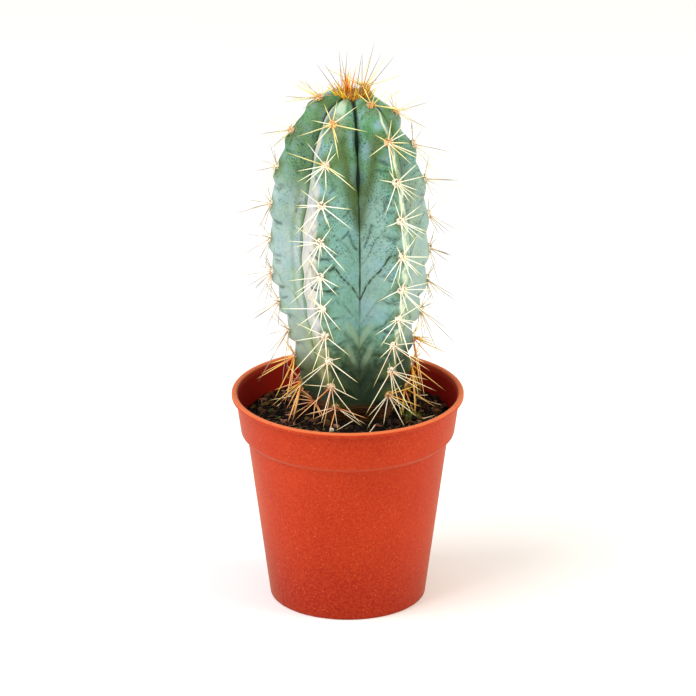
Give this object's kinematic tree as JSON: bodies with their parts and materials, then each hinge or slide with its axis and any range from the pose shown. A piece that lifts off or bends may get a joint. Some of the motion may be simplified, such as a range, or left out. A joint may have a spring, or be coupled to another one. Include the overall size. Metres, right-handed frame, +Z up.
{
  "type": "potted tall cactus",
  "caption": "Upright columnar cactus with scalloped ribs, spined areoles and a spiny crown, rooted in potting mix in a tapered plastic nursery pot.",
  "frame": {"origin": "middle of the pot's underside, on the surface that it stands on", "axes": "+Z up along the stem, -Y towards the front that the picture shows, +X to the right of it"},
  "size_m": [0.09, 0.09, 0.2259],
  "materials": {
    "pot_plastic": "satin",
    "potting_mix": "matte",
    "cactus_skin": "satin"
  },
  "bodies": {
    "root": {"pot": "pot_plastic", "soil": "potting_mix", "cactus": "cactus_skin"}
  },
  "joints": []
}
